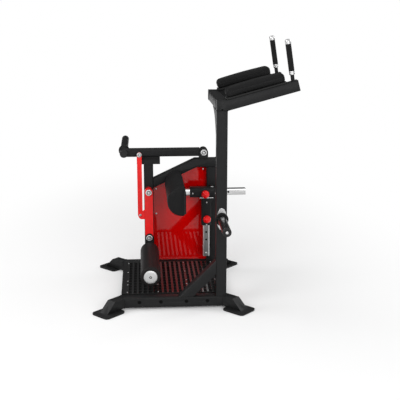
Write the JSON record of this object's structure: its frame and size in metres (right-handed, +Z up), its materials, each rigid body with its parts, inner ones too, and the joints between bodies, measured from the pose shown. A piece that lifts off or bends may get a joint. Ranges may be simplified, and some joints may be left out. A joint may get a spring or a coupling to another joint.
{
  "type": "standing leg curl machine",
  "caption": "Plate loaded leg curl machine for one standing leg: deck, forearm shelf with handles, sliding thigh pad, and a foam roller on a swing arm that lifts a weight lever.",
  "frame": {"origin": "centre of the bounding box, on the floor", "axes": "+X the way the user faces, toward the mast; +Y from the user's left to the right frame with the lever, away from the viewer; +Z up"},
  "size_m": [1.155, 1.512, 1.5113],
  "materials": {
    "black_plastic": "fine grained",
    "black_powder_coat": "textured black powder coat",
    "black_rubber": "matt rubber",
    "black_vinyl": "upholstery vinyl over foam",
    "brushed_steel": "drawn steel",
    "chrome": "bright plating",
    "painted_board": "board painted black",
    "red_gloss_panel": "high gloss red sheet",
    "red_plastic": "glossy",
    "red_powder_coat": "glossy red powder coat"
  },
  "bodies": {
    "frame": {"base_rail_near": "black_powder_coat", "base_rail_far": "black_powder_coat", "foot_near_left": "black_powder_coat", "foot_near_right": "black_powder_coat", "foot_far_left": "black_powder_coat", "foot_far_right": "black_powder_coat", "crossbar_1": "black_powder_coat", "crossbar_2": "black_powder_coat", "crossbar_3": "black_powder_coat", "crossbar_4": "black_powder_coat", "deck": "black_powder_coat", "mast": "black_powder_coat", "mast_brace": "black_powder_coat", "shelf_crossbar": "black_powder_coat", "shelf_rail_near": "black_powder_coat", "shelf_rail_far": "black_powder_coat", "shelf_gusset": "black_powder_coat", "arm_pad_board_near": "painted_board", "arm_pad_board_far": "painted_board", "arm_pad_near": "black_vinyl", "arm_pad_far": "black_vinyl", "handle_rod_near": "black_powder_coat", "handle_rod_far": "black_powder_coat", "handle_ring_near": "chrome", "handle_ring_far": "chrome", "handle_grip_near": "black_rubber", "handle_grip_far": "black_rubber", "handle_cap_near": "chrome", "handle_cap_far": "chrome", "peg_flange": "chrome", "peg_disc": "black_rubber", "peg": "brushed_steel", "peg_cap": "black_plastic", "post_left": "black_powder_coat", "post_right": "black_powder_coat", "top_tube": "black_powder_coat", "side_panel": "red_gloss_panel", "stop_bumper": "black_rubber", "lever_bracket": "black_powder_coat", "lever_pivot_bolt": "chrome", "knee_bolt": "chrome", "upright_bar": "brushed_steel"},
    "weight_lever": {"weight_lever": "black_powder_coat", "lever_end_cap": "black_plastic", "plate_sleeve": "black_powder_coat", "sleeve_end_cap": "black_plastic", "link_upper_bolt": "chrome"},
    "link": {"link": "red_powder_coat"},
    "swing_arm": {"swing_arm": "red_powder_coat", "link_lower_bolt": "chrome", "carrier_bolt": "chrome"},
    "roller_carrier": {"roller_carrier": "black_powder_coat", "roller_cap": "chrome"},
    "foam_roller": {"foam_roller": "black_vinyl"},
    "carriage": {"carriage": "black_powder_coat"},
    "thigh_pad_assembly": {"pad_tube": "chrome", "pad_plate": "black_powder_coat", "thigh_pad": "black_vinyl"},
    "vertical_pull_pin": {"pull_pin_vertical": "red_plastic"},
    "horizontal_pull_pin": {"pull_pin_horizontal": "red_plastic"}
  },
  "joints": [
    {"name": "knee_pivot", "type": "hinge", "parent": "frame", "child": "swing_arm", "pos_m": [-0.24841, 0.1364, 0.542], "axis": [0, 1, 0], "range_deg": [0, 85]},
    {"name": "lever_pivot", "type": "hinge", "parent": "frame", "child": "weight_lever", "pos_m": [0.10259, 0.2204, 0.785], "axis": [0, 1, 0], "range_deg": [0, 24.42]},
    {"name": "link_pivot", "type": "hinge", "parent": "weight_lever", "child": "link", "pos_m": [-0.30391, 0.1634, 0.779], "axis": [0, 1, 0], "range_deg": [-4.44, 0]},
    {"name": "carrier_pivot", "type": "hinge", "parent": "swing_arm", "child": "roller_carrier", "pos_m": [-0.24841, 0.1259, 0.2485], "axis": [0, 1, 0], "range_deg": [-40, 40]},
    {"name": "roller_spin", "type": "hinge", "parent": "roller_carrier", "child": "foam_roller", "pos_m": [-0.24841, -0.3991, 0.169], "axis": [0, 1, 0], "continuous": true},
    {"name": "carriage_slide", "type": "slide", "parent": "frame", "child": "carriage", "axis": [0, 0, 1], "range_m": [-0.1, 0]},
    {"name": "pad_slide", "type": "slide", "parent": "carriage", "child": "thigh_pad_assembly", "axis": [1, 0, 0], "range_m": [-0.05, 0.04]},
    {"name": "vertical_pin_pull", "type": "slide", "parent": "carriage", "child": "vertical_pull_pin", "axis": [0, -1, 0], "range_m": [0, 0.012], "stiffness_N_per_m": 800, "springref_m": -0.012},
    {"name": "horizontal_pin_pull", "type": "slide", "parent": "carriage", "child": "horizontal_pull_pin", "axis": [0, -1, 0], "range_m": [0, 0.012], "stiffness_N_per_m": 800, "springref_m": -0.012}
  ],
  "couplings": [
    {"joint": "lever_pivot", "follows": "knee_pivot", "ratio": 0.28709},
    {"joint": "link_pivot", "follows": "knee_pivot", "ratio": -0.05196}
  ]
}
